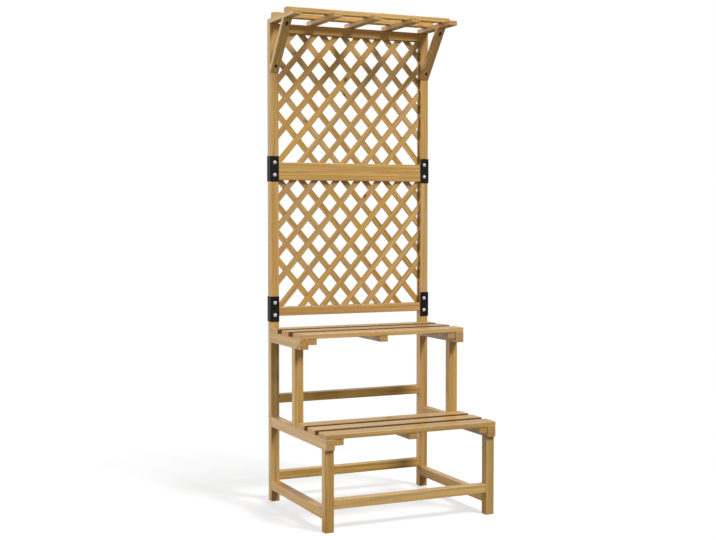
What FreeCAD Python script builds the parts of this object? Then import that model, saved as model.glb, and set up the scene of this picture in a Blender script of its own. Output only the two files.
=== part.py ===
"""A wooden plant stand: a two-tier stepped base, a two-panel trellis and a small pergola top.

Millimetres. +Z is up, the front faces -Y and +X is to the right seen from the front. The origin is on
the floor, in the middle of the stand's width and depth.
"""
import FreeCAD
import Part
import Sketcher
import math
import os
import re

# Driving sizes
SIZES = {
    # the frame
    "overall_width": 600,
    "overall_depth": 505,
    "post_width": 30,
    "post_depth": 28,
    "base_post_length": 665,
    "lower_stile_length": 462,
    "upper_stile_length": 496,
    "rail_height": 30,
    "rail_depth": 28,
    "side_stretcher_level": 40,
    "cross_stretcher_gap": 2,
    "back_rail_rise": 46,
    "edge_radius": 1.5,
    # the two shelves
    "lower_shelf_level": 257,
    "upper_shelf_drop": 85,
    "shelf_rail_height": 34,
    "shelf_overhang": 9,
    "step_setback": 5.5,
    "upper_shelf_overhang": 44,
    "slat_width": 62,
    "slat_thickness": 16,
    "lower_rear_gap": 18,
    "upper_rear_gap": 2,
    "batten_width": 30,
    "batten_height": 20,
    "batten_recess": 2,
    # the trellis
    "strip_width": 20,
    "strip_thickness": 5,
    "strip_edge_radius": 0.8,
    "cell_width": 80.3,
    "cell_height": 93,
    "first_row_drop": 28.5,
    "lattice_shift": 3.5,
    "groove_depth": 6,
    # the pergola top
    "rafter_height": 16,
    "rafter_reach": 211,
    "top_slat_width": 30,
    "top_slat_thickness": 16,
    "rear_slat_setback": 9,
    "front_slat_setback": 128,
    "brace_thickness": 16,
    "brace_reach": 130,
    "brace_drop": 167,
    # the steel angles over the splices
    "bracket_height": 86,
    "bracket_thickness": 2,
    "bracket_edge_radius": 0.6,
    "lower_bracket_drop": 6,
    "upper_bracket_rise": 8,
    "bracket_screw_spacing": 42,
    # joints and fasteners
    "tenon_length": 9,
    "tenon_shoulder": 5,
    "leg_tenon_length": 12,
    "fit_clearance": 0.2,
    "cut_overrun": 40,
    "dowel_radius": 4,
    "dowel_length": 20,
    "shank_radius": 1.8,
    "head_radius": 3.6,
    "head_height": 2.4,
    "slat_screw_length": 26,
    "top_slat_screw_length": 20,
    "fixing_screw_length": 42,
    "rafter_screw_length": 36,
    "brace_screw_length": 18,
    "brace_screw_seat": 9,
    "brace_head_radius": 4.8,
    "foot_screw_rise": 22,
    "top_screw_setback": 13.5,
    "fixing_screw_offset": 15,
    "bracket_shank_radius": 2,
    "bracket_head_radius": 6.2,
    "bracket_head_height": 3.4,
    "bracket_screw_length": 22,
}

# Sizes that follow from the driving ones
DERIVED = {
    "half_width": "overall_width / 2",
    "inner_half": "half_width - post_width",
    "inner_width": "2 * inner_half",
    "post_front": "overall_depth / 2 - post_depth",
    "shelf_front": "-overall_depth / 2",
    "leg_front": "shelf_front + shelf_overhang",
    "leg_back": "leg_front + post_depth",
    "step_front": "step_setback",
    "upper_front": "step_front - upper_shelf_overhang",
    "lower_shelf_depth": "step_front - lower_rear_gap - shelf_front",
    "upper_shelf_depth": "post_front - upper_rear_gap - upper_front",
    "splice_low": "base_post_length",
    "lower_rail_top": "lower_shelf_level + shelf_rail_height",
    "upper_rail_top": "splice_low - upper_shelf_drop",
    "upper_shelf_level": "upper_rail_top - shelf_rail_height",
    "cross_stretcher_level": "side_stretcher_level + rail_height + cross_stretcher_gap",
    "back_rail_level": "lower_rail_top + back_rail_rise",
    "splice_high": "splice_low + lower_stile_length",
    "post_top": "splice_high + upper_stile_length",
    "rafter_top": "post_top + rafter_height",
    "rafter_front": "post_front - rafter_reach",
    "rafter_length": "rafter_reach + post_depth",
    "lower_bracket_level": "splice_low - lower_bracket_drop - bracket_height / 2",
    "upper_bracket_level": "splice_high + upper_bracket_rise - bracket_height / 2",
    "lattice_plane": "post_front + post_depth / 2",
    "groove_width": "2 * strip_thickness + 2 * fit_clearance",
    "groove_front": "lattice_plane - groove_width / 2",
}

SIDES = ("left", "right")
RAFTERS = ("left", "mid_left", "centre", "mid_right", "right")
ROWS = ("front", "middle", "rear")
BATTENS = ("left", "centre", "right")

# Shares of a screw head that shape its cross recess
RECESS_LENGTH_SHARE = 1.1
RECESS_WIDTH_SHARE = 0.26
RECESS_DEPTH_SHARE = 0.6

doc = FreeCAD.newDocument("plant_stand")
sheet = doc.addObject("Spreadsheet::Sheet", "Sizes")
for row, (name, value) in enumerate({**SIZES, **DERIVED}.items(), start=1):
    sheet.set(f"A{row}", name)
    sheet.set(f"B{row}", str(value) if name in SIZES else "=" + value)
    sheet.setAlias(f"B{row}", name)
doc.recompute()

# Ways that a screw points, as turns of one that points down
DOWN = FreeCAD.Rotation()
UP = FreeCAD.Rotation(FreeCAD.Vector(1, 0, 0), 180)
BACK = FreeCAD.Rotation(FreeCAD.Vector(1, 0, 0), 90)
LEFT = FreeCAD.Rotation(FreeCAD.Vector(0, 1, 0), 90)
RIGHT = FreeCAD.Rotation(FreeCAD.Vector(0, 1, 0), -90)

nodes = []
corners = {}


def formula(text):
    """The expression in text, with each size read from the sheet."""
    return re.sub(r"[a-z]\w+", lambda word: "Sizes." + word.group(), text)


def bind(item, properties, expressions):
    """Tie properties of an object to expressions of the sizes."""
    for prop, expression in zip(properties, expressions):
        item.setExpression(prop, formula(expression))


def place(item, corner):
    """Tie an object's position to three expressions."""
    bind(item, ("Placement.Base.x", "Placement.Base.y", "Placement.Base.z"), corner)


def shifted(corner, origin):
    """A point of the stand, given in the frame of a piece whose corner is origin."""
    return [f"({along}) - ({start})" for along, start in zip(corner, origin)]


def piece(label, corner):
    """An empty body for one piece, with its lowest corner at corner."""
    body = doc.addObject("PartDesign::Body", label)
    body.Label = label
    place(body, corner)
    corners[label] = corner
    nodes.append(body)
    return body


def box_feature(kind, body, corner, size):
    """Add or cut a box, given in the stand's frame."""
    feature = body.newObject(kind, f"{body.Label}_box")
    bind(feature, ("Length", "Width", "Height"), size)
    place(feature, shifted(corner, corners[body.Label]))


def ease(body, radius):
    """Round every edge that the body has so far."""
    edges = body.newObject("PartDesign::Fillet", f"{body.Label}_edges")
    edges.Base = (body.Group[-2], [""])
    edges.UseAllEdges = True
    bind(edges, ("Radius",), (radius,))


def board(label, corner, size):
    """A straight length of timber with eased edges."""
    body = piece(label, corner)
    box_feature("PartDesign::AdditiveBox", body, corner, size)
    ease(body, "edge_radius")
    return body


def tenon(owner, host, corner, size):
    """A tenon on one piece and its socket, a fit clearance larger all round, in the other."""
    box_feature("PartDesign::AdditiveBox", owner, corner, size)
    roomy_corner = [f"{along} - fit_clearance" for along in corner]
    roomy_size = [f"{length} + 2 * fit_clearance" for length in size]
    box_feature("PartDesign::SubtractiveBox", host, roomy_corner, roomy_size)


def bore(body, seat, turn, radius, depth):
    """Drill a round hole from seat, along the way that turn points a screw."""
    hole = body.newObject("PartDesign::SubtractiveCylinder", f"{body.Label}_hole")
    hole.Placement = FreeCAD.Placement(FreeCAD.Vector(), turn.multiply(UP))
    place(hole, shifted(seat, corners[body.Label]))
    bind(hole, ("Radius", "Height"), (radius, depth))


def screw(label, shank_radius, head_radius, head_height, length):
    """A round-headed screw that points down, with the underside of its head at its origin."""
    shank = doc.addObject("Part::Cylinder", f"{label}_shank")
    bind(shank, ("Radius", "Height"), (shank_radius, length))
    place(shank, ("0", "0", f"-({length})"))
    blank = doc.addObject("Part::Cylinder", f"{label}_blank")
    bind(blank, ("Radius", "Height"), (head_radius, head_height))
    dome = doc.addObject("Part::Sphere", f"{label}_dome")
    dome_radius = f"({head_radius} ^ 2 + {head_height} ^ 2) / (2 * {head_height})"
    bind(dome, ("Radius",), (dome_radius,))
    place(dome, ("0", "0", f"{head_height} - {dome_radius}"))
    head = doc.addObject("Part::Common", f"{label}_head")
    head.Base = blank
    head.Tool = dome
    whole = doc.addObject("Part::MultiFuse", f"{label}_whole")
    whole.Shapes = [shank, head]
    slots = []
    for along, across in (("Length", "Width"), ("Width", "Length")):
        slot = doc.addObject("Part::Box", f"{label}_slot")
        long_side = f"{head_radius} * {RECESS_LENGTH_SHARE}"
        short_side = f"{head_radius} * {RECESS_WIDTH_SHARE}"
        bind(slot, (along, across, "Height"), (long_side, short_side, head_height))
        x_side, y_side = (long_side, short_side) if along == "Length" else (short_side, long_side)
        floor = f"{head_height} * (1 - {RECESS_DEPTH_SHARE})"
        place(slot, (f"-({x_side}) / 2", f"-({y_side}) / 2", floor))
        slots.append(slot)
    recess = doc.addObject("Part::MultiFuse", f"{label}_recess")
    recess.Shapes = slots
    finished = doc.addObject("Part::Cut", label)
    finished.Base = whole
    finished.Tool = recess
    return finished


def fastener_group(label, pattern, places):
    """Copies of one fastener in one node: each place is a seat and a turn."""
    copies = []
    for seat, turn in places:
        copy = doc.addObject("App::Link", f"{label}_copy")
        copy.LinkedObject = pattern
        copy.Placement = FreeCAD.Placement(FreeCAD.Vector(), turn)
        place(copy, seat)
        copies.append(copy)
    group = doc.addObject("Part::Compound", label)
    group.Label = label
    group.Links = copies
    nodes.append(group)


def drill(bodies, seat, turn, length, head_radius="head_radius"):
    """Drill a wood screw's hole through each body, and sink its head in the first one."""
    for body in bodies:
        bore(body, seat, turn, "shank_radius + fit_clearance", f"{length} + fit_clearance")
    bore(bodies[0], seat, turn.multiply(UP), f"{head_radius} + fit_clearance", "cut_overrun")


def outer_corner(side, width):
    """The lower X of a piece whose outer face is flush with the stand's side."""
    return "-half_width" if side == "left" else f"half_width - {width}"


def middle_of_post(side):
    """The X of the middle of a post."""
    return "-half_width + post_width / 2" if side == "left" else "half_width - post_width / 2"


# Posts, legs and their splices
POST_SECTION = ("post_width", "post_depth")
base_posts = {}
lower_stiles = {}
upper_stiles = {}
front_legs = {}
for side in SIDES:
    x = outer_corner(side, "post_width")
    base_posts[side] = board(
        f"base_post_{side}", (x, "post_front", "0"), (*POST_SECTION, "base_post_length"))
    lower_stiles[side] = board(
        f"lower_stile_{side}", (x, "post_front", "splice_low"), (*POST_SECTION, "lower_stile_length"))
    upper_stiles[side] = board(
        f"upper_stile_{side}", (x, "post_front", "splice_high"), (*POST_SECTION, "upper_stile_length"))
    front_legs[side] = board(
        f"front_leg_{side}", (x, "leg_front", "0"), (*POST_SECTION, "lower_shelf_level"))

dowel = doc.addObject("Part::Cylinder", "dowel")
bind(dowel, ("Radius", "Height"), ("dowel_radius", "dowel_length"))
dowel_places = []
for side in SIDES:
    splices = (("splice_low", base_posts, lower_stiles), ("splice_high", lower_stiles, upper_stiles))
    for level, below, above in splices:
        foot = (middle_of_post(side), "lattice_plane", f"{level} - dowel_length / 2")
        dowel_places.append((foot, DOWN))
        for body in (below[side], above[side]):
            deeper = (foot[0], foot[1], f"{foot[2]} - fit_clearance")
            bore(body, deeper, UP, "dowel_radius + fit_clearance", "dowel_length + 2 * fit_clearance")
fastener_group("splice_dowels", dowel, dowel_places)


def cross_rail(label, front, level, hosts):
    """A rail between two uprights, tenoned into the inner face of each."""
    start = ("-inner_half", front, level)
    rail = board(label, start, ("inner_width", "rail_depth", "rail_height"))
    section = ("rail_depth - 2 * tenon_shoulder", "rail_height - 2 * tenon_shoulder")
    for side, x in (("left", "-inner_half - tenon_length"), ("right", "inner_half")):
        corner = (x, f"{front} + tenon_shoulder", f"{level} + tenon_shoulder")
        tenon(rail, hosts[side], corner, ("tenon_length", *section))
    return rail


cross_rail("rear_stretcher", "post_front", "cross_stretcher_level", base_posts)
cross_rail("front_stretcher", "leg_front", "cross_stretcher_level", front_legs)
cross_rail("back_rail", "post_front", "back_rail_level", base_posts)
base_top_rail = cross_rail("base_top_rail", "post_front", "splice_low - rail_height", base_posts)
lower_top_rail = cross_rail(
    "lower_panel_top_rail", "post_front", "splice_high - rail_height", lower_stiles)
upper_bottom_rail = cross_rail("upper_panel_bottom_rail", "post_front", "splice_high", upper_stiles)
upper_top_rail = cross_rail("upper_panel_top_rail", "post_front", "post_top - rail_height", upper_stiles)

# Side stretchers, shelf side rails and step legs
CROSSWISE = "post_width - 2 * tenon_shoulder"
lower_rails = {}
upper_rails = {}
for side in SIDES:
    x = outer_corner(side, "post_width")
    x_tenon = f"{x} + tenon_shoulder"
    size = ("post_width", "post_front - leg_back", "rail_height")
    stretcher = board(f"side_stretcher_{side}", (x, "leg_back", "side_stretcher_level"), size)
    end = (CROSSWISE, "tenon_length", "rail_height - 2 * tenon_shoulder")
    level = "side_stretcher_level + tenon_shoulder"
    tenon(stretcher, base_posts[side], (x_tenon, "post_front", level), end)
    tenon(stretcher, front_legs[side], (x_tenon, "leg_back - tenon_length", level), end)

    end = (CROSSWISE, "tenon_length", "shelf_rail_height - 2 * tenon_shoulder")
    for name, rails, front, level in (
        ("lower", lower_rails, "shelf_front", "lower_shelf_level"),
        ("upper", upper_rails, "upper_front", "upper_shelf_level"),
    ):
        size = ("post_width", f"post_front - {front}", "shelf_rail_height")
        rails[side] = board(f"{name}_shelf_rail_{side}", (x, front, level), size)
        tenon(rails[side], base_posts[side], (x_tenon, "post_front", f"{level} + tenon_shoulder"), end)

    step_height = "upper_shelf_level - lower_rail_top"
    size = (*POST_SECTION, step_height)
    step_leg = board(f"step_leg_{side}", (x, "step_front", "lower_rail_top"), size)
    end = (CROSSWISE, "post_depth - 2 * tenon_shoulder", "leg_tenon_length")
    y_step = "step_front + tenon_shoulder"
    tenon(step_leg, lower_rails[side], (x_tenon, y_step, "lower_rail_top - leg_tenon_length"), end)
    tenon(step_leg, upper_rails[side], (x_tenon, y_step, "upper_shelf_level"), end)
    y_leg = "leg_front + tenon_shoulder"
    tenon(front_legs[side], lower_rails[side], (x_tenon, y_leg, "lower_shelf_level"), end)


def shelf(name, front, depth, top, side_rails):
    """A slatted shelf: three slats on three battens, screwed to the rails at its two ends."""
    pitch = f"({depth} - slat_width) / {len(ROWS) - 1}"
    slats = []
    for order, row in enumerate(ROWS):
        y = f"{front} + {order} * {pitch}"
        size = ("overall_width", "slat_width", "slat_thickness")
        slats.append(board(f"{name}_shelf_slat_{row}", ("-half_width", y, top), size))
    screw_places = []
    fixing_places = []
    batten_front = f"{front} + batten_recess"
    batten_length = f"{depth} - 2 * batten_recess"
    underside = f"{top} - batten_height"
    for which, x in zip(BATTENS, ("-inner_half", "-batten_width / 2", "inner_half - batten_width")):
        size = ("batten_width", batten_length, "batten_height")
        batten = board(f"{name}_shelf_batten_{which}", (x, batten_front, underside), size)
        for order, slat in enumerate(slats):
            y = f"{front} + {order} * {pitch} + slat_width / 2"
            seat = (f"{x} + batten_width / 2", y, f"{underside} + head_height")
            screw_places.append((seat, UP))
            drill((batten, slat), seat, UP, "slat_screw_length")
        if which == "centre":
            continue
        turn = LEFT if which == "left" else RIGHT
        inner_face = f"{x} + batten_width - head_height" if which == "left" else f"{x} + head_height"
        for y in (f"{front} + slat_width + fixing_screw_offset",
                  f"{front} + {depth} - slat_width - fixing_screw_offset"):
            seat = (inner_face, y, f"{top} - batten_height / 2")
            fixing_places.append((seat, turn))
            drill((batten, side_rails[which]), seat, turn, "fixing_screw_length")
    return screw_places, fixing_places


lower_places = shelf("lower", "shelf_front", "lower_shelf_depth", "lower_rail_top", lower_rails)
upper_places = shelf("upper", "upper_front", "upper_shelf_depth", "upper_rail_top", upper_rails)
WOOD_SCREW = ("shank_radius", "head_radius", "head_height")
slat_screw = screw("slat_screw", *WOOD_SCREW, "slat_screw_length")
fixing_screw = screw("fixing_screw", *WOOD_SCREW, "fixing_screw_length")
fastener_group("shelf_slat_screws", slat_screw, lower_places[0] + upper_places[0])
fastener_group("shelf_fixing_screws", fixing_screw, lower_places[1] + upper_places[1])

# Grooves that hold the ends of the lattice strips
PANELS = (
    ("lower", "splice_low", "(splice_high - rail_height)", lower_stiles, base_top_rail, lower_top_rail),
    ("upper", "(splice_high + rail_height)", "(post_top - rail_height)", upper_stiles,
     upper_bottom_rail, upper_top_rail),
)
for name, low, high, stiles, bottom_rail, top_rail in PANELS:
    height = f"{high} - {low} + 2 * groove_depth"
    for side, x in (("left", "-inner_half - groove_depth"), ("right", "inner_half")):
        corner = (x, "groove_front", f"{low} - groove_depth")
        size = ("groove_depth", "groove_width", height)
        box_feature("PartDesign::SubtractiveBox", stiles[side], corner, size)
    for rail, z in ((bottom_rail, f"{low} - groove_depth"), (top_rail, high)):
        size = ("inner_width", "groove_width", "groove_depth")
        box_feature("PartDesign::SubtractiveBox", rail, ("-inner_half", "groove_front", z), size)


def rafter_x(order):
    """The lower X of a rafter: the outer two stand over the posts, the rest are evenly spaced."""
    return f"-half_width + {order} * (overall_width - post_width) / {len(RAFTERS) - 1}"


# Pergola top: rafters on the posts and top rail, slats across them
rafters = {}
rafter_places = []
for order, which in enumerate(RAFTERS):
    x = rafter_x(order)
    size = ("post_width", "rafter_length", "rafter_height")
    rafters[which] = board(f"rafter_{which}", (x, "rafter_front", "post_top"), size)
    seat = (f"{x} + post_width / 2", "post_front + rail_depth / 2", "rafter_top - head_height")
    host = upper_stiles[which] if which in SIDES else upper_top_rail
    rafter_places.append((seat, DOWN))
    drill((rafters[which], host), seat, DOWN, "rafter_screw_length")
rafter_screw = screw("rafter_screw", *WOOD_SCREW, "rafter_screw_length")
fastener_group("rafter_screws", rafter_screw, rafter_places)

top_slat_places = []
for which, setback in (("rear", "rear_slat_setback"), ("front", "front_slat_setback")):
    y = f"post_front - {setback} - top_slat_width"
    size = ("overall_width", "top_slat_width", "top_slat_thickness")
    slat = board(f"pergola_slat_{which}", ("-half_width", y, "rafter_top"), size)
    for order, rafter in enumerate(RAFTERS):
        middle = f"{rafter_x(order)} + post_width / 2"
        seat = (middle, f"{y} + top_slat_width / 2", "rafter_top + top_slat_thickness - head_height")
        top_slat_places.append((seat, DOWN))
        drill((slat, rafters[rafter]), seat, DOWN, "top_slat_screw_length")
top_slat_screw = screw("top_slat_screw", *WOOD_SCREW, "top_slat_screw_length")
fastener_group("pergola_slat_screws", top_slat_screw, top_slat_places)


def brace(side):
    """A slanting strut under an outer rafter, cut to sit against the rafter and the post."""
    label = f"brace_{side}"
    x = outer_corner(side, "post_width")
    body = piece(label, (x, "post_front - brace_reach", "post_top - brace_drop"))
    plane = next(f for f in body.Origin.OriginFeatures if f.Role == "YZ_Plane")
    outline = body.newObject("Sketcher::SketchObject", f"{label}_outline")
    outline.AttachmentSupport = [(plane, "")]
    outline.MapMode = "FlatFace"
    reach = sheet.get("brace_reach")
    drop = sheet.get("brace_drop")
    thick = sheet.get("brace_thickness")
    slope = math.hypot(reach, drop)
    foot = FreeCAD.Vector(reach, 0)
    foot_back = FreeCAD.Vector(reach, thick * slope / reach)
    top_back = FreeCAD.Vector(thick * slope / drop, drop)
    top = FreeCAD.Vector(0, drop)
    ring = (foot, foot_back, top_back, top)
    for start, end in zip(ring, ring[1:] + ring[:1]):
        outline.addGeometry(Part.LineSegment(start, end), False)
    heel, back, head, face = range(len(ring))
    for line, following in ((heel, back), (back, head), (head, face), (face, heel)):
        outline.addConstraint(Sketcher.Constraint("Coincident", line, 2, following, 1))
    outline.addConstraint(Sketcher.Constraint("Vertical", heel))
    outline.addConstraint(Sketcher.Constraint("Horizontal", head))
    outline.addConstraint(Sketcher.Constraint("Parallel", back, face))
    outline.addConstraint(Sketcher.Constraint("PointOnObject", heel, 1, -1))
    outline.addConstraint(Sketcher.Constraint("PointOnObject", face, 1, -2))
    sizes = (
        ("brace_reach", Sketcher.Constraint("DistanceX", -1, 1, heel, 1, reach)),
        ("brace_drop", Sketcher.Constraint("DistanceY", -1, 1, face, 1, drop)),
        ("brace_thickness", Sketcher.Constraint("Distance", head, 1, face, thick)),
    )
    for name, constraint in sizes:
        index = outline.addConstraint(constraint)
        outline.renameConstraint(index, name)
        outline.setExpression(f"Constraints.{name}", formula(name))
    pad = body.newObject("PartDesign::Pad", f"{label}_pad")
    pad.Profile = outline
    bind(pad, ("Length",), ("post_width",))
    ease(body, "edge_radius")
    return body


brace_places = []
for side in SIDES:
    strut = brace(side)
    middle = middle_of_post(side)
    low_seat = (middle, "post_front - brace_screw_seat", "post_top - brace_drop + foot_screw_rise")
    high_seat = (middle, "post_front - brace_reach + top_screw_setback", "post_top - brace_screw_seat")
    for seat, turn, host in ((low_seat, BACK, upper_stiles[side]), (high_seat, UP, rafters[side])):
        brace_places.append((seat, turn))
        drill((strut, host), seat, turn, "brace_screw_length", "brace_head_radius")
brace_screw = screw("brace_screw", "shank_radius", "brace_head_radius", "head_height", "brace_screw_length")
fastener_group("brace_screws", brace_screw, brace_places)

# Steel angles wrapped round the outer front corner of each splice
bracket_places = []
BRACKETS = (
    ("lower", "lower_bracket_level", base_posts, lower_stiles),
    ("upper", "upper_bracket_level", lower_stiles, upper_stiles),
)
for side in SIDES:
    for name, level, below, above in BRACKETS:
        outer = "-half_width - bracket_thickness" if side == "left" else "half_width"
        flange_x = outer if side == "left" else "half_width - post_width"
        flange_front = "post_front - bracket_thickness"
        bracket = piece(f"splice_bracket_{name}_{side}", (flange_x, flange_front, level))
        plate = ("post_width + bracket_thickness", "bracket_thickness", "bracket_height")
        box_feature("PartDesign::AdditiveBox", bracket, (flange_x, flange_front, level), plate)
        cheek = ("bracket_thickness", "post_depth + bracket_thickness", "bracket_height")
        box_feature("PartDesign::AdditiveBox", bracket, (outer, flange_front, level), cheek)
        ease(bracket, "bracket_edge_radius")
        for sign, host in (("-", below[side]), ("+", above[side])):
            z = f"{level} + bracket_height / 2 {sign} bracket_screw_spacing / 2"
            seat = (middle_of_post(side), flange_front, z)
            bracket_places.append((seat, BACK))
            for body in (bracket, host):
                depth = "bracket_screw_length + fit_clearance"
                bore(body, seat, BACK, "bracket_shank_radius + fit_clearance", depth)
BRACKET_SCREW = ("bracket_shank_radius", "bracket_head_radius", "bracket_head_height")
bracket_screw = screw("bracket_screw", *BRACKET_SCREW, "bracket_screw_length")
fastener_group("bracket_screws", bracket_screw, bracket_places)
doc.recompute()


def lattice(label, low, high, lean, front):
    """One layer of slanting strips, trimmed to the panel's opening and the grooves round it."""
    seat = sheet.get("groove_depth") - sheet.get("fit_clearance")
    half_clear = sheet.get("inner_half")
    half_span = half_clear + seat
    width = sheet.get("strip_width")
    thickness = sheet.get("strip_thickness")
    cell_width = sheet.get("cell_width")
    cell_height = sheet.get("cell_height")
    angle = math.degrees(math.atan2(cell_height, cell_width))
    height = high - low + 2 * seat
    wide = Part.makeBox(2 * half_span, thickness, high - low, FreeCAD.Vector(-half_span, front, low))
    tall = Part.makeBox(2 * half_clear, thickness, height, FreeCAD.Vector(-half_clear, front, low - seat))
    opening = wide.fuse(tall)
    reach = 2 * math.hypot(half_span, height)
    blank = Part.makeBox(2 * reach, thickness, width, FreeCAD.Vector(-reach, 0, -width / 2))
    long_edges = [edge for edge in blank.Edges if edge.BoundBox.XLength > reach]
    blank = blank.makeFillet(sheet.get("strip_edge_radius"), long_edges)
    row = high - sheet.get("first_row_drop")
    shift = sheet.get("lattice_shift")
    count = math.ceil((half_span + height * cell_width / cell_height) / cell_width)
    strips = []
    for order in range(-count, count + 1):
        strip = blank.copy()
        turn = FreeCAD.Rotation(FreeCAD.Vector(0, 1, 0), -lean * angle)
        place = FreeCAD.Vector(shift + lean * order * cell_width, front, row)
        strip.Placement = FreeCAD.Placement(place, turn)
        trimmed = strip.common(opening)
        if trimmed.Volume > width * width * thickness:
            strips += trimmed.Solids
    # The strips start at a top corner of the panel, and none closes the bottom corner across from it
    strips.pop()
    layer = doc.addObject("Part::Feature", label)
    layer.Label = label
    layer.Shape = Part.makeCompound(strips)
    nodes.append(layer)


lattice_plane = sheet.get("lattice_plane")
thickness = sheet.get("strip_thickness")
rail_height = sheet.get("rail_height")
splice_high = sheet.get("splice_high")
panels = (
    ("lower", sheet.get("splice_low"), splice_high - rail_height),
    ("upper", splice_high + rail_height, sheet.get("post_top") - rail_height),
)
for name, low, high in panels:
    lattice(f"{name}_lattice_front", low, high, 1, lattice_plane - thickness)
    lattice(f"{name}_lattice_rear", low, high, -1, lattice_plane)

doc.recompute()
for item in doc.Objects:
    if "Invalid" in item.State or "Error" in item.State:
        raise RuntimeError(f"{item.Label} did not build")
for node in nodes:
    if node.Shape.isNull() or not node.Shape.isValid():
        raise RuntimeError(f"{node.Label} has no valid shape")

os.makedirs("parts", exist_ok=True)
for node in nodes:
    node.Shape.exportStep(f"parts/{node.Label}.step")
print(len(nodes), "nodes written")
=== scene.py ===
"""Looks of the wooden plant stand: stained timber, black steel angles and plated screws in a pale studio."""
import math

import bpy
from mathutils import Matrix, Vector


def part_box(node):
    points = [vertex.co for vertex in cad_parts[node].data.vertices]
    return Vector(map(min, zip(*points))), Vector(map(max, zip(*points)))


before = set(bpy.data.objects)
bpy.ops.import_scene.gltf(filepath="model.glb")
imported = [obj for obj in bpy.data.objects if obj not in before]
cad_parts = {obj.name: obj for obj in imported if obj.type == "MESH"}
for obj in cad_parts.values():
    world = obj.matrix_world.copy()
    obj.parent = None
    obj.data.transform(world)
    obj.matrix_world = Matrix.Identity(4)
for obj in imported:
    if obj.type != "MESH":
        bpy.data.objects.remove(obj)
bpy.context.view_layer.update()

# The photograph's camera: width and focal length in pixels, place in metres, turns in degrees
PHOTO_WIDTH = 716
PHOTO_FOCAL = 1233.95
SENSOR_WIDTH = 36.0
CAMERA_PLACE = (-1.770, -3.697, 0.9836)
CAMERA_PITCH = 2.623
CAMERA_YAW = 24.597
RIGHT_ANGLE = 90

# How the lattice is laid out, in metres
CELL_WIDTH = 0.0803
CELL_HEIGHT = 0.093
FIRST_ROW_DROP = 0.0285
LATTICE_SHIFT = 0.0035
STRIP_PITCH = CELL_WIDTH * CELL_HEIGHT / math.hypot(CELL_WIDTH, CELL_HEIGHT)

# Which way the grain runs in each kind of board
UPRIGHT = Vector((0, 0, 1))
CROSSWISE = Vector((1, 0, 0))
FRONT_TO_BACK = Vector((0, 1, 0))
RISING = Vector((CELL_WIDTH, 0, CELL_HEIGHT)).normalized()
FALLING = Vector((-CELL_WIDTH, 0, CELL_HEIGHT)).normalized()
brace_low, brace_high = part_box("brace_left")
BRACE_RUN = Vector((0, brace_high.y - brace_low.y, brace_low.z - brace_high.z)).normalized()

# Which way a side of a board faces
TO_FRONT = (0.0, -1.0, 0.0)
TO_REAR = (0.0, 1.0, 0.0)
UP = (0.0, 0.0, 1.0)
DOWN = (0.0, 0.0, -1.0)

# The curve from the levels of a screen to the linear light that a shader takes
SCREEN_WHITE = 255
CURVE_START = 0.04045
CURVE_SLOPE = 12.92
CURVE_OFFSET = 0.055
CURVE_POWER = 2.4


def linear(level):
    """A level of a screen, as a share of linear light."""
    share = level / SCREEN_WHITE
    if share <= CURVE_START:
        return share / CURVE_SLOPE
    return ((share + CURVE_OFFSET) / (1 + CURVE_OFFSET)) ** CURVE_POWER


def tone(red, green, blue):
    """A colour given in a screen's levels, as the linear colour that a shader takes."""
    return (linear(red), linear(green), linear(blue), 1.0)


BLACK = (0.0, 0.0, 0.0, 1.0)
WHITE = (1.0, 1.0, 1.0, 1.0)


def add(tree, kind, inputs=None, **settings):
    """A new node, with its settings, and its inputs linked or set."""
    made = tree.nodes.new(kind)
    for name, value in settings.items():
        setattr(made, name, value)
    for socket, value in (inputs or {}).items():
        if isinstance(value, bpy.types.NodeSocket):
            tree.links.new(value, made.inputs[socket])
        else:
            made.inputs[socket].default_value = value
    return made


def calculate(tree, operation, *values, clamp=False):
    """What an operation makes of one value or more."""
    inputs = dict(enumerate(values))
    return add(tree, "ShaderNodeMath", inputs, operation=operation, use_clamp=clamp).outputs[0]


def on_vectors(tree, operation, *vectors):
    """What an operation makes of one vector or more: a vector, or else a length or a product."""
    made = add(tree, "ShaderNodeVectorMath", dict(enumerate(vectors)), operation=operation)
    gives_value = operation in ("LENGTH", "DISTANCE", "DOT_PRODUCT")
    return made.outputs["Value" if gives_value else "Vector"]


def ramp(tree, value, start, end, low=0.0, high=1.0):
    """A value that goes smoothly from low to high as another goes from start to end."""
    inputs = {"Value": value, "From Min": start, "From Max": end, "To Min": low, "To Max": high}
    made = add(tree, "ShaderNodeMapRange", inputs, interpolation_type="SMOOTHSTEP")
    return made.outputs["Result"]


def blend(tree, share, first, second):
    """A colour between two others."""
    made = add(tree, "ShaderNodeMix", data_type="RGBA")
    wanted = {"Factor_Float": share, "A_Color": first, "B_Color": second}
    for socket in made.inputs:
        value = wanted.get(socket.identifier)
        if isinstance(value, bpy.types.NodeSocket):
            tree.links.new(value, socket)
        elif value is not None:
            socket.default_value = value
    return next(socket for socket in made.outputs if socket.identifier == "Result_Color")


def about_zero(tree, share):
    """A share from 0 to 1, moved so that its middle is at 0."""
    return calculate(tree, "SUBTRACT", share, 0.5)


def draws(tree, number):
    """Three shares from 0 to 1 that look random, and are the same each time for the same number."""
    noise = add(tree, "ShaderNodeTexWhiteNoise", {"W": number}, noise_dimensions="1D")
    return add(tree, "ShaderNodeSeparateColor", {0: noise.outputs["Color"]}).outputs


NOISE_ROUGHNESS = 0.55


def stretched_noise(tree, place, across, along, detail):
    """Noise with so many features to the metre across the grain and along it."""
    scaled = on_vectors(tree, "MULTIPLY", place, (across, across, along))
    inputs = {"Vector": scaled, "Scale": 1.0, "Detail": detail, "Roughness": NOISE_ROUGHNESS}
    return add(tree, "ShaderNodeTexNoise", inputs).outputs["Fac"]


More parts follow.
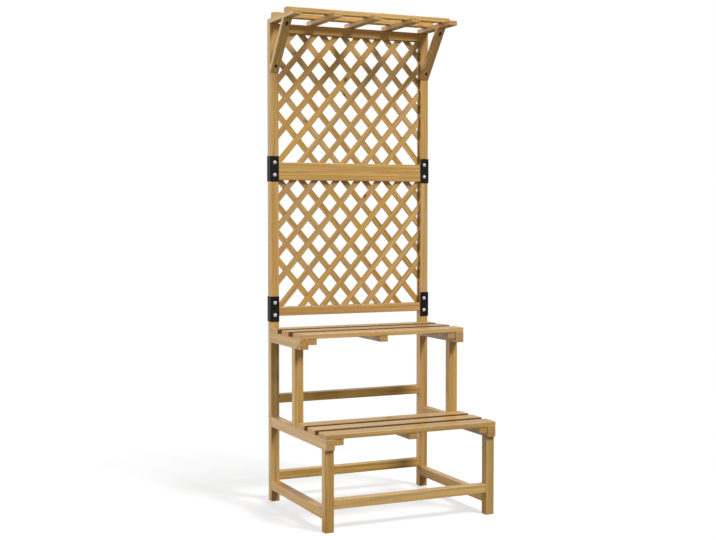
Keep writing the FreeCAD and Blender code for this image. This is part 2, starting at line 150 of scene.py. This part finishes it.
def new_group(name, inputs, outputs):
    """An empty node group with its named sockets, and its input and output nodes."""
    tree = bpy.data.node_groups.new(name, "ShaderNodeTree")
    for direction, sockets in (("INPUT", inputs), ("OUTPUT", outputs)):
        for label, kind in sockets.items():
            tree.interface.new_socket(label, in_out=direction, socket_type=f"NodeSocket{kind}")
    return tree, add(tree, "NodeGroupInput"), add(tree, "NodeGroupOutput")


# The largest part of a normal on a well rounded edge and on a flat face
EDGE_TURN = (0.88, 0.995)


def eased_edge_group():
    """Where a piece's flat faces turn into its rounded edges."""
    tree, given, result = new_group("eased_edge", {"Facing": "Vector"}, {"Edge": "Float"})
    size = on_vectors(tree, "ABSOLUTE", given.outputs["Facing"])
    split = add(tree, "ShaderNodeSeparateXYZ", {0: size}).outputs
    widest = calculate(tree, "MAXIMUM", split["X"], split["Y"])
    widest = calculate(tree, "MAXIMUM", widest, split["Z"])
    tree.links.new(ramp(tree, widest, *EDGE_TURN, 1.0, 0.0), result.inputs["Edge"])
    return tree


# Growth of the timber, in metres
RING_WIDTH = 0.0026
RING_SWAY = 0.007
PITH_SPREAD = 0.16
PITH_NEAREST = 0.03
PITH_RANGE = 0.06
LOG_LENGTH = 7.0
KNOT_RADIUS = 0.0055
KNOT_PULL = 0.004
KNOT_REACH = 0.012
KNOT_SPACING = (0.075, 0.075, 0.26)

# A knot's dark core as a share of its radius, how it is drawn out, and the draws at which one has grown
KNOT_CORE_SHARE = 0.6
KNOT_FLATTENING = (1.0, 0.4, 0.6)
KNOT_ODDS = (0.45, 0.55)

# How dark a ring is at two shares of its year, and how dark it is in the poorest year
LATE_WOOD = ((0.45, 0.12), (0.86, 1.0))
POOREST_YEAR = 0.25

# Noises: features to the metre across the grain and along it, and detail
SWAY_NOISE = (9.0, 1.6, 2.0)
FIBRE_NOISE = (850.0, 16.0, 3.0)
STREAK_NOISE = (150.0, 2.4, 2.0)
BLOTCH_NOISE = (22.0, 4.0, 2.0)
FLECK_NOISE = (1900.0, 70.0, 1.0)

# The stretch of each noise over which its mark comes up
STREAK_RANGE = (0.3, 0.7)
FIBRE_RANGE = (0.45, 0.8)
BLOTCH_RANGE = (0.35, 0.75)
FLECK_RANGE = (0.62, 0.72)
WEAR_RANGE = (0.4, 0.7)
GLOSS_RANGE = (0.3, 0.7)

# How much each mark covers the stain, the colours of flecks and knots, and the turn to end grain
RING_SHARE = 0.55
FIBRE_SHARE = 0.4
BLOTCH_SHARE = 0.3
FLECK_SHARE = 0.3
HALO_SHARE = 0.45
KNOT_SHARE = 0.8
END_SHARE = 0.28
WEAR_SHARES = (0.05, 0.3)
FLECK = tone(104, 66, 30)
KNOT = tone(86, 50, 24)
END_TURN = (0.75, 0.95)

# How far boards differ in hue, saturation and value, and what sets that draw apart from a board's first
HUES = (0.496, 0.503)
SATURATIONS = (0.93, 1.04)
VALUES = (0.92, 1.05)
SECOND_DRAW = 0.5

# Roughness of the stain, and what rings, end grain and blotches add to it
STAIN_ROUGHNESS = 0.36
RING_ROUGHNESS = 0.08
END_ROUGHNESS = 0.2
BLOTCH_ROUGHNESS = (-0.04, 0.06)

# Relief of the grain: shares of its height, and the height in metres
RING_HEIGHT = 0.5
FIBRE_HEIGHT = 0.6
FLECK_DEPTH = 0.4
GRAIN_STRENGTH = 0.3
GRAIN_HEIGHT = 0.0003

# The clear coat over the stain
COAT_WEIGHT = 0.5
COAT_ROUGHNESS = 0.28

# Painted shade, standing in for shade where light reaches less: its colour, and how much of it lies at a
# narrow gap, at a seam and round a sunk screw
PAINTED_SHADE = tone(84, 52, 20)
GAP_PAINTED_SHADE = 0.93
SEAM_PAINTED_SHADE = 0.45
SCREW_PAINTED_SHADE = 0.97

# How far a side has turned to a gap where the painted shade starts, and where it is full
SHADED_TURN = (0.1, 0.45)

# The radii over which the painted shade round a sunk screw ends, standing for the shadow in its seat, and how
# far the upper screw is from its brace's front
SCREW_RING = (0.0050, 0.0054)
TOP_SCREW_SETBACK = 0.0119

# What a place is multiplied by to drop its height
LEVEL = (1.0, 1.0, 0.0)


def place_in_log(tree, place, board):
    """A place in the log that a board was sawn from, which differs from board to board."""
    shares = draws(tree, board)
    aside = calculate(tree, "MULTIPLY", about_zero(tree, shares[0]), PITH_SPREAD)
    deep = calculate(tree, "MULTIPLY_ADD", shares[1], PITH_RANGE, PITH_NEAREST)
    along = calculate(tree, "MULTIPLY", shares[2], LOG_LENGTH)
    pith = add(tree, "ShaderNodeCombineXYZ", {"X": aside, "Y": deep, "Z": along})
    return on_vectors(tree, "ADD", place, pith.outputs[0])


def knots(tree, grown):
    """The dark core of each knot that has grown, and the halo of bent grain round it."""
    scaled = on_vectors(tree, "MULTIPLY", grown, tuple(1 / length for length in KNOT_SPACING))
    cells = add(tree, "ShaderNodeTexVoronoi", {"Vector": scaled, "Scale": 1.0}).outputs
    middle = on_vectors(tree, "MULTIPLY", cells["Position"], KNOT_SPACING)
    offset = on_vectors(tree, "SUBTRACT", grown, middle)
    distance = on_vectors(tree, "LENGTH", on_vectors(tree, "MULTIPLY", offset, KNOT_FLATTENING))
    draw = add(tree, "ShaderNodeSeparateColor", {0: cells["Color"]}).outputs[0]
    present = ramp(tree, draw, *KNOT_ODDS)
    core = ramp(tree, distance, KNOT_RADIUS * KNOT_CORE_SHARE, KNOT_RADIUS, 1.0, 0.0)
    halo = ramp(tree, distance, 0.0, KNOT_REACH, 1.0, 0.0)
    return [calculate(tree, "MULTIPLY", mark, present) for mark in (core, halo)]


def year_rings(tree, grown, halo):
    """The late wood of the yearly rings, which bend round knots and are darker in some years."""
    split = add(tree, "ShaderNodeSeparateXYZ", {0: grown}).outputs
    flat = add(tree, "ShaderNodeCombineXYZ", {"X": split["X"], "Y": split["Y"]})
    radius = on_vectors(tree, "LENGTH", flat.outputs[0])
    sway = about_zero(tree, stretched_noise(tree, grown, *SWAY_NOISE))
    radius = calculate(tree, "MULTIPLY_ADD", sway, RING_SWAY, radius)
    radius = calculate(tree, "MULTIPLY_ADD", halo, KNOT_PULL, radius)
    years = calculate(tree, "DIVIDE", radius, RING_WIDTH)
    late = add(tree, "ShaderNodeValToRGB", {0: calculate(tree, "FRACT", years)})
    for element in late.color_ramp.elements:
        element.color = BLACK
    for position, value in LATE_WOOD:
        late.color_ramp.elements.new(position).color = (value, value, value, 1.0)
    year = calculate(tree, "FLOOR", years)
    draw = add(tree, "ShaderNodeTexWhiteNoise", {"W": year}, noise_dimensions="1D").outputs["Value"]
    vigour = ramp(tree, draw, 0.0, 1.0, POOREST_YEAR, 1.0)
    return calculate(tree, "MULTIPLY", late.outputs["Color"], vigour)


def board_shade(tree, colour, board):
    """A colour that differs a little from board to board."""
    shares = draws(tree, calculate(tree, "ADD", board, SECOND_DRAW))
    inputs = {
        "Hue": ramp(tree, shares[0], 0.0, 1.0, *HUES),
        "Saturation": ramp(tree, shares[1], 0.0, 1.0, *SATURATIONS),
        "Value": ramp(tree, shares[2], 0.0, 1.0, *VALUES),
        "Color": colour,
    }
    return add(tree, "ShaderNodeHueSaturation", inputs).outputs["Color"]


def timber_group(edges):
    """Stained softwood: growth rings, fibres, knots, uneven stain, end grain, rubbed edges and painted shade.

    Place is measured from the board's middle with the grain along Z, Facing is the surface normal in
    the same frame, Board is a number of the board's own, and Painted Shade is how much painted shade covers
    it.
    the same frame, Board is a number of the board's own, and Grime is how much the dirt covers.
    """
    inputs = {
        "Place": "Vector",
        "Facing": "Vector",
        "Board": "Float",
        "Painted Shade": "Float",
        "Pale": "Color",
        "Deep": "Color",
        "Ring": "Color",
    }
    outputs = {"Color": "Color", "Roughness": "Float", "Height": "Float"}
    tree, given, result = new_group("stained_timber", inputs, outputs)
    place, facing, board, painted_shade, pale, deep, ring = (given.outputs[label] for label in inputs)

    grown = place_in_log(tree, place, board)
    core, halo = knots(tree, grown)
    rings = year_rings(tree, grown, halo)
    fibre = stretched_noise(tree, grown, *FIBRE_NOISE)
    streak = stretched_noise(tree, grown, *STREAK_NOISE)
    blotch = stretched_noise(tree, grown, *BLOTCH_NOISE)
    fleck = ramp(tree, stretched_noise(tree, grown, *FLECK_NOISE), *FLECK_RANGE)
    along_grain = add(tree, "ShaderNodeSeparateXYZ", {0: facing}).outputs["Z"]
    end = ramp(tree, calculate(tree, "ABSOLUTE", along_grain), *END_TURN)
    edge = add(tree, "ShaderNodeGroup", {"Facing": facing}, node_tree=edges).outputs["Edge"]

    layers = (
        (ramp(tree, streak, *STREAK_RANGE), deep),
        (calculate(tree, "MULTIPLY", rings, RING_SHARE), ring),
        (ramp(tree, fibre, *FIBRE_RANGE, 0.0, FIBRE_SHARE), ring),
        (ramp(tree, blotch, *BLOTCH_RANGE, 0.0, BLOTCH_SHARE), deep),
        (calculate(tree, "MULTIPLY", fleck, FLECK_SHARE), FLECK),
        (calculate(tree, "MULTIPLY", halo, HALO_SHARE), ring),
        (calculate(tree, "MULTIPLY", core, KNOT_SHARE), KNOT),
        (calculate(tree, "MULTIPLY", end, END_SHARE), ring),
        (calculate(tree, "MULTIPLY", edge, ramp(tree, blotch, *WEAR_RANGE, *WEAR_SHARES)), pale),
        # Painted shade at gaps, seams and round a sunk screw: a dark colour laid over the stain where shade
        # falls
        (painted_shade, PAINTED_SHADE),
    )
    colour = pale
    for share, over in layers:
        colour = blend(tree, share, colour, over)
    tree.links.new(board_shade(tree, colour, board), result.inputs["Color"])

    rough = calculate(tree, "MULTIPLY_ADD", rings, RING_ROUGHNESS, STAIN_ROUGHNESS)
    rough = calculate(tree, "MULTIPLY_ADD", end, END_ROUGHNESS, rough)
    rough = calculate(tree, "ADD", rough, ramp(tree, blotch, *GLOSS_RANGE, *BLOTCH_ROUGHNESS))
    tree.links.new(rough, result.inputs["Roughness"])
    height = calculate(tree, "MULTIPLY", rings, RING_HEIGHT)
    height = calculate(tree, "MULTIPLY_ADD", fibre, FIBRE_HEIGHT, height)
    height = calculate(tree, "MULTIPLY_ADD", fleck, -FLECK_DEPTH, height)
    tree.links.new(height, result.inputs["Height"])
    return tree


def painted_shade_side_group():
    """Painted shade on the side of a board at a narrow gap or a seam, where Gap is the way that the side
    faces.
    """
    inputs = {"Facing": "Vector", "Gap": "Vector", "Share": "Float"}
    tree, given, result = new_group("painted_shade_side", inputs, {"Painted Shade": "Float"})
    turned = on_vectors(tree, "DOT_PRODUCT", given.outputs["Facing"], given.outputs["Gap"])
    painted_shade = calculate(tree, "MULTIPLY", ramp(tree, turned, *SHADED_TURN), given.outputs["Share"])
    tree.links.new(painted_shade, result.inputs["Painted Shade"])
    return tree


# Marks on metal: noises as in the timber, the grit's height in metres, and how much each mark shows
SCUFF_NOISE = (160.0, 60.0, 4.0)
SCUFF_RANGE = (0.45, 0.75)
GRIT_NOISE = (1300.0, 1300.0, 2.0)
GRIT_HEIGHT = 0.0002
SCUFF_SHARE = 0.5
RUBBED_EDGE_SHARE = 0.4
SCUFF_ROUGHNESS = 0.14
PLAIN_SPECULAR = 0.5


def handled_metal_group():
    """Fine scratches and handling marks on a metal surface."""
    tree, given, result = new_group("handled_metal", {"Place": "Vector"}, {"Scuff": "Float", "Grit": "Float"})
    scuff = stretched_noise(tree, given.outputs["Place"], *SCUFF_NOISE)
    tree.links.new(ramp(tree, scuff, *SCUFF_RANGE), result.inputs["Scuff"])
    grit = stretched_noise(tree, given.outputs["Place"], *GRIT_NOISE)
    tree.links.new(grit, result.inputs["Grit"])
    return tree


EASED_EDGE = eased_edge_group()
STAINED_TIMBER = timber_group(EASED_EDGE)
PAINTED_SHADE_SIDE = painted_shade_side_group()
HANDLED_METAL = handled_metal_group()


def new_material(name):
    """A material with an empty node tree but for its shader and output."""
    material = bpy.data.materials.new(name)
    material.use_nodes = True
    tree = material.node_tree
    tree.nodes.clear()
    shader = add(tree, "ShaderNodeBsdfPrincipled")
    add(tree, "ShaderNodeOutputMaterial", {"Surface": shader.outputs[0]})
    return material, tree, shader


def bump(tree, shader, height, strength, distance):
    """Raise the surface by a height."""
    inputs = {"Height": height, "Strength": strength, "Distance": distance}
    made = add(tree, "ShaderNodeBump", inputs)
    tree.links.new(made.outputs["Normal"], shader.inputs["Normal"])


def told(tree, name):
    """What each piece has been told of itself under a name."""
    return add(tree, "ShaderNodeAttribute", attribute_type="OBJECT", attribute_name=name).outputs


def board_frame(tree, grain):
    """A surface point and its normal, from the board's middle and turned so that the grain runs along Z."""
    turn = tuple(grain.rotation_difference(UPRIGHT).to_euler("XYZ"))
    coordinates = add(tree, "ShaderNodeTexCoord").outputs
    offset = on_vectors(tree, "SUBTRACT", coordinates["Object"], told(tree, "board_middle")["Vector"])
    turned = []
    for vector in (offset, coordinates["Normal"]):
        inputs = {"Vector": vector, "Rotation": turn}
        turned.append(add(tree, "ShaderNodeVectorRotate", inputs, rotation_type="EULER_XYZ").outputs[0])
    return turned


def strip_frame(tree, place, board):
    """A surface point from the middle of its own lattice strip, and that strip's number."""
    across = add(tree, "ShaderNodeSeparateXYZ", {0: place}).outputs["X"]
    order = calculate(tree, "ROUND", calculate(tree, "DIVIDE", across, STRIP_PITCH))
    middle = add(tree, "ShaderNodeCombineXYZ", {"X": calculate(tree, "MULTIPLY", order, STRIP_PITCH)})
    return on_vectors(tree, "SUBTRACT", place, middle.outputs[0]), calculate(tree, "ADD", board, order)


def painted_shade_on_sides(tree, sides):
    """How much painted shade a surface has, where sides lists the way that each shaded side faces and how
    much shade is painted on it.
    """
    facing = add(tree, "ShaderNodeTexCoord").outputs["Normal"]
    painted_shade = 0.0
    for gap, share in sides:
        inputs = {"Facing": facing, "Gap": gap, "Share": share}
        side = add(tree, "ShaderNodeGroup", inputs, node_tree=PAINTED_SHADE_SIDE)
        painted_shade = calculate(tree, "ADD", painted_shade, side.outputs["Painted Shade"])
    return painted_shade


def painted_shade_round_screw(tree, axis):
    """How much painted shade a surface has round an upright screw, standing for the shadow in its seat, alike
    on the left and on the right.
    """
    place = add(tree, "ShaderNodeTexCoord").outputs["Object"]
    level = on_vectors(tree, "ABSOLUTE", on_vectors(tree, "MULTIPLY", place, LEVEL))
    return ramp(tree, on_vectors(tree, "DISTANCE", level, axis), *SCREW_RING, SCREW_PAINTED_SHADE, 0.0)


def timber(name, grain, stain, strips=False, shaded_sides=(), screw=None):
    """Stained timber with its grain along a direction, sawn as single boards or as lattice strips.

    The sides listed for painted shade give the way that each shaded side faces and how much shade is painted
    on it, and screw is the axis of an upright screw that has painted shade round it, standing for the shadow
    in its seat.
    """
    material, tree, shader = new_material(name)
    place, facing = board_frame(tree, grain)
    board = told(tree, "board_number")["Fac"]
    if strips:
        place, board = strip_frame(tree, place, board)
    painted_shade = painted_shade_round_screw(tree, screw) if screw else painted_shade_on_sides(tree, shaded_sides)
    pale, deep, ring = stain
    inputs = {
        "Place": place,
        "Facing": facing,
        "Board": board,
        "Painted Shade": painted_shade,
        "Pale": pale,
        "Deep": deep,
        "Ring": ring,
    }
    wood = add(tree, "ShaderNodeGroup", inputs, node_tree=STAINED_TIMBER).outputs
    tree.links.new(wood["Color"], shader.inputs["Base Color"])
    tree.links.new(wood["Roughness"], shader.inputs["Roughness"])
    bump(tree, shader, wood["Height"], GRAIN_STRENGTH, GRAIN_HEIGHT)
    shader.inputs["Coat Weight"].default_value = COAT_WEIGHT
    shader.inputs["Coat Roughness"].default_value = COAT_ROUGHNESS
    # Where shade is painted at gaps and seams, the clear coat is taken off too, so no sheen shows there
    if shaded_sides:
        tree.links.new(ramp(tree, painted_shade, 0.0, 1.0, COAT_WEIGHT, 0.0), shader.inputs["Coat Weight"])
    return material


def metal(name, base, marked, metallic, roughness, relief, specular=PLAIN_SPECULAR):
    """A plated or powder-coated metal with handling marks."""
    material, tree, shader = new_material(name)
    coordinates = add(tree, "ShaderNodeTexCoord").outputs
    marks = add(tree, "ShaderNodeGroup", {"Place": coordinates["Object"]}, node_tree=HANDLED_METAL).outputs
    edge = add(tree, "ShaderNodeGroup", {"Facing": coordinates["Normal"]}, node_tree=EASED_EDGE).outputs
    scuffed = calculate(tree, "MULTIPLY", marks["Scuff"], SCUFF_SHARE)
    worn = calculate(tree, "MULTIPLY_ADD", edge["Edge"], RUBBED_EDGE_SHARE, scuffed, clamp=True)
    tree.links.new(blend(tree, worn, base, marked), shader.inputs["Base Color"])
    rough = ramp(tree, marks["Scuff"], 0.0, 1.0, roughness, roughness + SCUFF_ROUGHNESS)
    tree.links.new(rough, shader.inputs["Roughness"])
    shader.inputs["Metallic"].default_value = metallic
    shader.inputs["Specular IOR Level"].default_value = specular
    bump(tree, shader, marks["Grit"], relief, GRIT_HEIGHT)
    return material


# Stains: the pale, deep and ring colours of each lot of timber
FRAME_STAIN = (tone(208, 168, 98), tone(174, 135, 70), tone(132, 94, 45))
SLAT_STAIN = (tone(209, 169, 98), tone(177, 138, 71), tone(134, 96, 45))
LATTICE_STAIN = (tone(204, 163, 92), tone(172, 133, 68), tone(128, 91, 43))
DOWEL_STAIN = (tone(222, 194, 150), tone(208, 176, 128), tone(180, 144, 98))

# Where painted shade lies: on sides that face a gap or a seam, and round the upper screw of each brace
# Painted shade on slat sides that face the narrow gaps between slats, darkening them as shade would
FRONT_GAP = (TO_FRONT, GAP_PAINTED_SHADE)
REAR_GAP = (TO_REAR, GAP_PAINTED_SHADE)
# Painted shade on rail sides that meet at the seam, darkening it and dulling the highlight on the rounded
# edges
SEAM_ABOVE = (UP, SEAM_PAINTED_SHADE)
SEAM_BELOW = (DOWN, SEAM_PAINTED_SHADE)
BRACE_SCREW = (abs(brace_low.x + brace_high.x) / 2, brace_low.y + TOP_SCREW_SETBACK, 0.0)

TIMBERS = {
    "frame_upright": {"grain": UPRIGHT, "stain": FRAME_STAIN},
    "frame_crosswise": {"grain": CROSSWISE, "stain": FRAME_STAIN},
    "frame_front_to_back": {"grain": FRONT_TO_BACK, "stain": FRAME_STAIN},
    "rail_under_seam": {"grain": CROSSWISE, "stain": FRAME_STAIN, "shaded_sides": (SEAM_ABOVE,)},
    "rail_over_seam": {"grain": CROSSWISE, "stain": FRAME_STAIN, "shaded_sides": (SEAM_BELOW,)},
    "slat_crosswise": {"grain": CROSSWISE, "stain": SLAT_STAIN},
    "slat_front_to_back": {"grain": FRONT_TO_BACK, "stain": SLAT_STAIN},
    "slat_brace": {"grain": BRACE_RUN, "stain": SLAT_STAIN, "screw": BRACE_SCREW},
    "shelf_slat_front": {"grain": CROSSWISE, "stain": SLAT_STAIN, "shaded_sides": (REAR_GAP,)},
    "shelf_slat_middle": {"grain": CROSSWISE, "stain": SLAT_STAIN, "shaded_sides": (FRONT_GAP, REAR_GAP)},
    "shelf_slat_rear": {"grain": CROSSWISE, "stain": SLAT_STAIN, "shaded_sides": (FRONT_GAP,)},
    "lattice_rising": {"grain": RISING, "stain": LATTICE_STAIN, "strips": True},
    "lattice_falling": {"grain": FALLING, "stain": LATTICE_STAIN, "strips": True},
    "dowel": {"grain": UPRIGHT, "stain": DOWEL_STAIN},
}

METALS = {
    "black_steel": {
        "base": tone(13, 13, 15),
        "marked": tone(30, 30, 32),
        "metallic": 0.0,
        "roughness": 0.5,
        "relief": 0.25,
        "specular": 0.25,
    },
    "zinc_plate": {
        "base": tone(240, 240, 240),
        "marked": tone(206, 207, 209),
        "metallic": 0.35,
        "roughness": 0.32,
        "relief": 0.05,
    },
    "yellow_zinc": {
        "base": tone(204, 186, 138),
        "marked": tone(164, 146, 100),
        "metallic": 1.0,
        "roughness": 0.3,
        "relief": 0.05,
    },
    "bronzed": {
        "base": tone(22, 18, 15),
        "marked": tone(40, 33, 28),
        "metallic": 0.3,
        "roughness": 0.5,
        "relief": 0.05,
        "specular": 0.25,
    },
}

# The pieces of each finish, by how their names start, with screws before the boards that start alike
PIECES_OF = {
    "yellow_zinc": ("shelf_slat_screws", "shelf_fixing_screws", "rafter_screws", "pergola_slat_screws"),
    "bronzed": ("brace_screws",),
    "zinc_plate": ("bracket_screws",),
    "black_steel": ("splice_bracket",),
    "dowel": ("splice_dowels",),
    "frame_upright": ("base_post", "lower_stile", "upper_stile", "front_leg", "step_leg"),
    "frame_front_to_back": ("side_stretcher", "lower_shelf_rail", "upper_shelf_rail"),
    "frame_crosswise": (
        "front_stretcher",
        "rear_stretcher",
        "back_rail",
        "base_top_rail",
        "upper_panel_top_rail",
    ),
    "rail_under_seam": ("lower_panel_top_rail",),
    "rail_over_seam": ("upper_panel_bottom_rail",),
    "shelf_slat_front": ("lower_shelf_slat_front", "upper_shelf_slat_front"),
    "shelf_slat_middle": ("lower_shelf_slat_middle", "upper_shelf_slat_middle"),
    "shelf_slat_rear": ("lower_shelf_slat_rear", "upper_shelf_slat_rear"),
    "slat_crosswise": ("pergola_slat",),
    "slat_front_to_back": ("lower_shelf_batten", "upper_shelf_batten", "rafter"),
    "slat_brace": ("brace",),
    "lattice_rising": ("lower_lattice_front", "upper_lattice_front"),
    "lattice_falling": ("lower_lattice_rear", "upper_lattice_rear"),
}

# Numbers of boards, far enough apart for the strips of a lattice layer to have numbers between them
FIRST_BOARD = 5.0
BOARD_STEP = 37.0


def board_middle(name):
    """The middle of a board, or the crossing that a lattice layer is laid out from."""
    low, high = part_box(name)
    middle = (low + high) / 2
    if "lattice" in name:
        panel = name.split("_")[0]
        middle.x = LATTICE_SHIFT
        middle.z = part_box(f"{panel}_panel_top_rail")[0].z - FIRST_ROW_DROP
    return middle


def dress_pieces():
    """Give every piece its finish, and tell each board where its middle is and which board it is."""
    finishes = {name: timber(name, **look) for name, look in TIMBERS.items()}
    finishes.update({name: metal(name, **look) for name, look in METALS.items()})
    for number, (name, piece) in enumerate(sorted(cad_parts.items())):
        finish = next(finish for finish, starts in PIECES_OF.items() if name.startswith(starts))
        piece.data.materials.clear()
        piece.data.materials.append(finishes[finish])
        piece["board_middle"] = list(board_middle(name))
        piece["board_number"] = BOARD_STEP * number + FIRST_BOARD


def camera():
    """The photograph's camera."""
    data = bpy.data.cameras.new("photo_camera")
    data.sensor_fit = "HORIZONTAL"
    data.sensor_width = SENSOR_WIDTH
    data.lens = PHOTO_FOCAL * SENSOR_WIDTH / PHOTO_WIDTH
    made = bpy.data.objects.new("photo_camera", data)
    made.location = CAMERA_PLACE
    made.rotation_euler = (math.radians(RIGHT_ANGLE - CAMERA_PITCH), 0, math.radians(-CAMERA_YAW))
    bpy.context.scene.collection.objects.link(made)
    bpy.context.scene.camera = made


# The floor: its reach in metres, its colour in the light that it throws back and in reflections
FLOOR_REACH = 40.0
FLOOR_SIDES = 64
FLOOR_BOUNCE = (0.32, 0.295, 0.268, 1.0)
FLOOR_MIRRORED = (0.85, 0.85, 0.85, 1.0)
FLOOR_MIRRORED_DIM = (0.06, 0.06, 0.06, 1.0)

# How white the floor glows beside the stand, and the distances over which it turns all white, in metres
FLOOR_GLOW = 0.62
GLOW_GROWS = (0.6, 1.5)

# The studio is brighter at the rear left: how reflections of it fade from there, and how it fills the shade
BRIGHT_SIDE = (-0.707, 0.707, 0.0)
FLOOR_FADES = (0.2, 0.95)
WORLD_FADES = (-0.2, 1.0)
WORLD_DIM = 0.2
WORLD_FILL = 0.36

# Lamps: places and widths in metres, power in watts, directions and the fill lamps' width in degrees
KEY_PLACE = (3.84, -7.23, 9.67)
KEY_TARGET = (0.0, 0.0, 0.9)
KEY_POWER = 1630
KEY_WIDTH = 3.6
SIDE_AZIMUTH = -110
SIDE_STRENGTH = 2.1
REAR_AZIMUTH = 150
REAR_STRENGTH = 0.6
FILL_ELEVATION = 15
FILL_WIDTH = 40


def towards_bright_side(tree, direction):
    """How far a direction points to the bright side: one straight to it, and minus one away from it."""
    return on_vectors(tree, "DOT_PRODUCT", on_vectors(tree, "NORMALIZE", direction), BRIGHT_SIDE)


def lay_floor():
    """A pale floor that runs to the horizon and keeps the stand's shadow."""
    bpy.ops.mesh.primitive_circle_add(vertices=FLOOR_SIDES, radius=FLOOR_REACH, fill_type="NGON")
    floor = bpy.context.object
    floor.name = "studio_floor"
    material, tree, shader = new_material("studio_floor")
    path = add(tree, "ShaderNodeLightPath").outputs
    place = add(tree, "ShaderNodeTexCoord").outputs["Object"]
    bright = ramp(tree, towards_bright_side(tree, place), *FLOOR_FADES)
    mirrored = blend(tree, bright, FLOOR_MIRRORED_DIM, FLOOR_MIRRORED)
    colour = blend(tree, path["Is Glossy Ray"], FLOOR_BOUNCE, mirrored)
    colour = blend(tree, path["Is Camera Ray"], colour, WHITE)
    tree.links.new(colour, shader.inputs["Base Color"])
    shader.inputs["Roughness"].default_value = 1.0
    shader.inputs["Specular IOR Level"].default_value = 0.0
    glow = add(tree, "ShaderNodeEmission")
    own_light = ramp(tree, on_vectors(tree, "LENGTH", place), *GLOW_GROWS, FLOOR_GLOW, 1.0)
    share = calculate(tree, "MULTIPLY", path["Is Camera Ray"], own_light)
    mixed = add(tree, "ShaderNodeMixShader", {0: share, 1: shader.outputs[0], 2: glow.outputs[0]})
    output = next(node for node in tree.nodes if node.type == "OUTPUT_MATERIAL")
    tree.links.new(mixed.outputs[0], output.inputs["Surface"])
    floor.data.materials.append(material)


def surroundings():
    """White surroundings that fill the shade, and that reflections show dimmer away from the bright side."""
    world = bpy.data.worlds.new("studio")
    bpy.context.scene.world = world
    world.use_nodes = True
    tree = world.node_tree
    tree.nodes.clear()
    path = add(tree, "ShaderNodeLightPath").outputs
    seen = calculate(tree, "ADD", path["Is Camera Ray"], path["Is Glossy Ray"])
    seen = calculate(tree, "ADD", seen, path["Is Transmission Ray"], clamp=True)
    direction = add(tree, "ShaderNodeTexCoord").outputs["Generated"]
    mirrored = ramp(tree, towards_bright_side(tree, direction), *WORLD_FADES, WORLD_DIM, 1.0)
    shown = ramp(tree, path["Is Glossy Ray"], 0.0, 1.0, 1.0, mirrored)
    strength = ramp(tree, seen, 0.0, 1.0, WORLD_FILL, shown)
    background = add(tree, "ShaderNodeBackground", {"Color": WHITE, "Strength": strength})
    add(tree, "ShaderNodeOutputWorld", {"Surface": background.outputs[0]})


def key_lamp():
    """A large round lamp high at the front right, turned to the stand."""
    data = bpy.data.lights.new("key_lamp", "AREA")
    data.shape = "DISK"
    data.size = KEY_WIDTH
    data.energy = KEY_POWER
    made = bpy.data.objects.new("key_lamp", data)
    made.location = KEY_PLACE
    made.rotation_euler = (Vector(KEY_TARGET) - Vector(KEY_PLACE)).to_track_quat("-Z", "Y").to_euler()
    made.visible_camera = False
    bpy.context.scene.collection.objects.link(made)


def fill_lamp(name, azimuth, strength):
    """A broad lamp from an azimuth, with 0 at the front and positive to the right, that isn't mirrored."""
    data = bpy.data.lights.new(name, "SUN")
    data.energy = strength
    data.angle = math.radians(FILL_WIDTH)
    made = bpy.data.objects.new(name, data)
    made.rotation_euler = (math.radians(RIGHT_ANGLE - FILL_ELEVATION), 0, math.radians(azimuth))
    made.visible_glossy = False
    bpy.context.scene.collection.objects.link(made)


dress_pieces()
camera()
lay_floor()
surroundings()
key_lamp()
fill_lamp("side_lamp", SIDE_AZIMUTH, SIDE_STRENGTH)
fill_lamp("rear_lamp", REAR_AZIMUTH, REAR_STRENGTH)
bpy.context.scene.view_settings.view_transform = "Standard"
